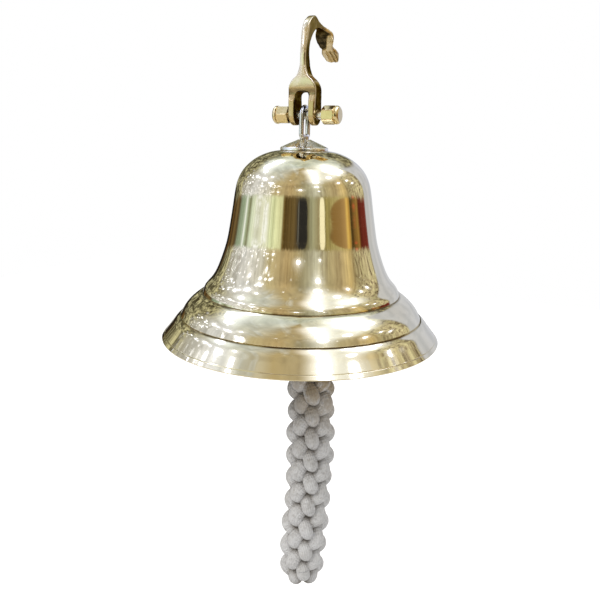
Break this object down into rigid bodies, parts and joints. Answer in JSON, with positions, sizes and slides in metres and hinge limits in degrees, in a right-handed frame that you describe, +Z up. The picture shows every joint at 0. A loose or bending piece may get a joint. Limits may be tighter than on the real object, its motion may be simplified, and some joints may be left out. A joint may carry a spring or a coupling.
{
  "type": "ship's anchor bell with hook hanger and plaited bell rope",
  "caption": "Polished brass ship's bell that hangs by a forked brass hook from a rail, with a ball clapper inside and a short thick plaited cotton rope below.",
  "frame": {"origin": "middle of the hook's arch, on the axis of the rail that the hook sits on", "axes": "+Z up, from the bell's mouth to the hook; +X along the rail; +Y from the hook's shank towards its tip, so the bell's front faces -Y"},
  "size_m": [0.2, 0.2, 0.4255],
  "materials": {
    "bell_brass": "polished",
    "hook_brass": "cast, polished",
    "nut_brass": "polished",
    "ball_brass": "satin",
    "bright_steel": "bright",
    "rope_cotton": "soft"
  },
  "bodies": {
    "hanger": {"hanger_hook": "hook_brass", "fork_stud": "bright_steel", "cap_nuts": "nut_brass"},
    "bell": {"crown_eye": "bright_steel", "crown_cap": "bell_brass", "bell_shell": "bell_brass", "inner_washer": "bright_steel", "spring_washer": "bright_steel", "crown_nut": "bright_steel", "clapper_eye": "bright_steel"},
    "link": {"link_bow": "bright_steel", "link_pin": "bright_steel"},
    "clapper": {"clapper_rod": "bright_steel", "ball_lock_nut": "bright_steel", "clapper_ball": "ball_brass", "tail_eye": "bright_steel"},
    "rope": {"rope_loop": "rope_cotton", "loop_seizing": "rope_cotton", "bell_rope": "rope_cotton", "rope_end_knot": "rope_cotton"}
  },
  "joints": [
    {"name": "bell_swing", "type": "hinge", "parent": "hanger", "child": "bell", "pos_m": [0, -0.0176, -0.0413], "axis": [1, 0, 0], "range_deg": [-45, 45]},
    {"name": "link_swing", "type": "hinge", "parent": "bell", "child": "link", "pos_m": [0, -0.0176, -0.0979], "axis": [1, 0, 0], "range_deg": [-12, 12]},
    {"name": "clapper_swing", "type": "hinge", "parent": "link", "child": "clapper", "pos_m": [0, -0.0176, -0.1109], "axis": [0, 1, 0], "range_deg": [-30, 30]},
    {"name": "rope_swing", "type": "hinge", "parent": "clapper", "child": "rope", "pos_m": [0, -0.0176, -0.198], "axis": [0, 1, 0], "range_deg": [-12, 12]}
  ]
}
